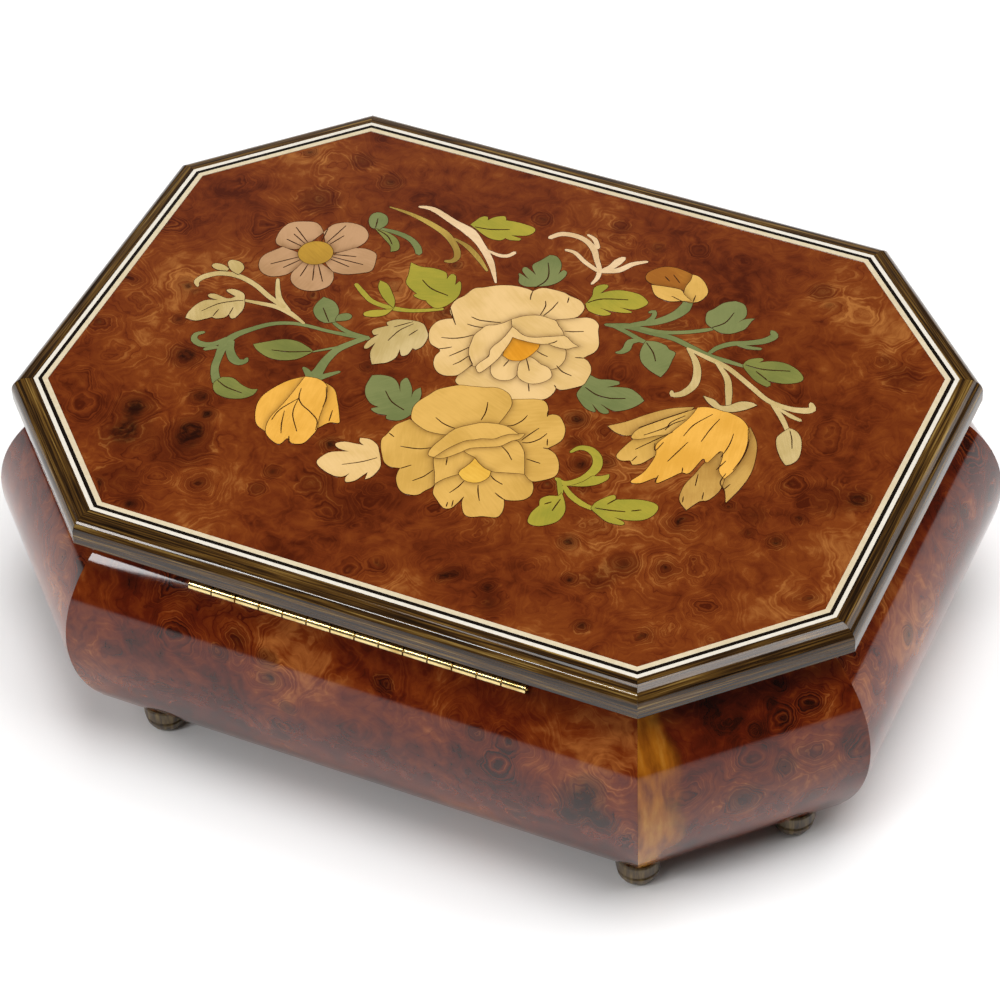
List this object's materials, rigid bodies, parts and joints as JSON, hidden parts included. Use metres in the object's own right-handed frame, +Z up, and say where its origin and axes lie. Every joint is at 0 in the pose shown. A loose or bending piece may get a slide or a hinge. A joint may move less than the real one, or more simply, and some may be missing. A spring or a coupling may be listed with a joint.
{
  "type": "cylinder music box",
  "caption": "Octagonal inlaid jewellery box on bun feet, with a hinged lid, ring rolls and a cylinder musical movement.",
  "frame": {"origin": "on the table plane, under the centre of the octagon", "axes": "+X along the length, +Y to the hinge side at the back, +Z up"},
  "size_m": [0.2666, 0.204, 0.081],
  "materials": {
    "burl_veneer": "burl veneer under a thick clear gloss lacquer",
    "dark_wood": "very dark straight-grained wood, gloss lacquer",
    "turned_wood": "turned, stained and lacquered",
    "pale_stringing": "pale veneer line under gloss lacquer",
    "black_stringing": "dyed black veneer line under gloss lacquer",
    "plain_wood": "plain light hardwood, sanded",
    "velvet": "short-pile velvet",
    "clear_cover": "clear polished sheet",
    "brass": "polished",
    "steel": "ground and polished",
    "blued_steel": "heat-blued"
  },
  "bodies": {
    "case": {"wall_front": "burl_veneer", "wall_front_right": "burl_veneer", "wall_right": "burl_veneer", "wall_back_right": "burl_veneer", "wall_back": "burl_veneer", "wall_back_left": "burl_veneer", "wall_left": "burl_veneer", "wall_front_left": "burl_veneer", "base_panel": "plain_wood", "feet_front": "turned_wood", "feet_back": "turned_wood", "partition": "plain_wood", "velvet_lining": "velvet", "velvet_floor": "velvet", "ring_platform": "velvet", "ring_divider": "velvet", "ring_roll_1": "velvet", "ring_roll_2": "velvet", "ring_roll_3": "velvet", "window_ledge": "plain_wood", "hinge_body_leaf": "brass", "hinge_pin": "brass", "hinge_body_screws": "brass", "bedplate": "brass", "bedplate_screws": "steel", "cylinder_brackets": "brass", "comb_base": "brass", "comb": "steel", "comb_screws": "blued_steel", "governor_frame": "brass", "lever_pivot": "steel"},
    "lid": {"lid_board": "plain_wood", "lid_veneer": "burl_veneer", "stringing_outer": "pale_stringing", "stringing_black": "black_stringing", "stringing_inner": "pale_stringing", "moulding_front": "dark_wood", "moulding_right": "dark_wood", "moulding_back": "dark_wood", "moulding_left": "dark_wood", "moulding_corners": "dark_wood", "lid_skirt": "dark_wood", "lid_lining": "velvet", "hinge_lid_leaf": "brass", "hinge_lid_screws": "brass"},
    "window": {"window": "clear_cover"},
    "barrel": {"spring_barrel": "brass", "barrel_cover": "brass", "mainspring": "blued_steel"},
    "key": {"winding_arbor": "steel", "winding_key": "brass"},
    "cylinder": {"cylinder": "brass", "cylinder_arbor": "steel", "cylinder_wheel": "brass"},
    "governor": {"governor_wheel": "brass"},
    "fly": {"fly": "steel"},
    "stop_lever": {"stop_lever": "steel"},
    "stop_pin": {"stop_pin": "steel"}
  },
  "joints": [
    {"name": "lid_hinge", "type": "hinge", "parent": "case", "child": "lid", "pos_m": [0, 0.0908, 0.06615], "axis": [-1, 0, 0], "range_deg": [0, 100]},
    {"name": "window_lift", "type": "slide", "parent": "case", "child": "window", "axis": [0, 0, 1], "range_m": [0, 0.009]},
    {"name": "barrel_spin", "type": "hinge", "parent": "case", "child": "barrel", "pos_m": [-0.066, -0.034, 0.02], "axis": [0, 0, -1], "continuous": true},
    {"name": "key_turn", "type": "hinge", "parent": "case", "child": "key", "pos_m": [-0.066, -0.034, 0.02], "axis": [0, 0, -1], "range_deg": [0, 2160]},
    {"name": "cylinder_spin", "type": "hinge", "parent": "case", "child": "cylinder", "pos_m": [-0.066, 0, 0.03625], "axis": [0, -1, 0], "continuous": true},
    {"name": "governor_spin", "type": "hinge", "parent": "case", "child": "governor", "pos_m": [-0.0795, 0.041, 0.03625], "axis": [0, 1, 0], "continuous": true},
    {"name": "fly_spin", "type": "hinge", "parent": "case", "child": "fly", "pos_m": [-0.0869, 0.041, 0.04], "axis": [0, 0, -1], "continuous": true},
    {"name": "stop_lever_swing", "type": "hinge", "parent": "case", "child": "stop_lever", "pos_m": [-0.079, 0.0464, 0.024], "axis": [0, 1, 0], "range_deg": [0, 10.3]},
    {"name": "stop_pin_rise", "type": "slide", "parent": "case", "child": "stop_pin", "axis": [0, 0, 1], "range_m": [0, 0.003]}
  ],
  "couplings": [
    {"joint": "cylinder_spin", "follows": "barrel_spin", "ratio": 3.375},
    {"joint": "governor_spin", "follows": "barrel_spin", "ratio": 14.85},
    {"joint": "fly_spin", "follows": "barrel_spin", "ratio": 445.5},
    {"joint": "stop_lever_swing", "follows": "lid_hinge", "ratio": 0.103},
    {"joint": "stop_pin_rise", "follows": "lid_hinge", "m_per_rad": 0.0017188}
  ]
}
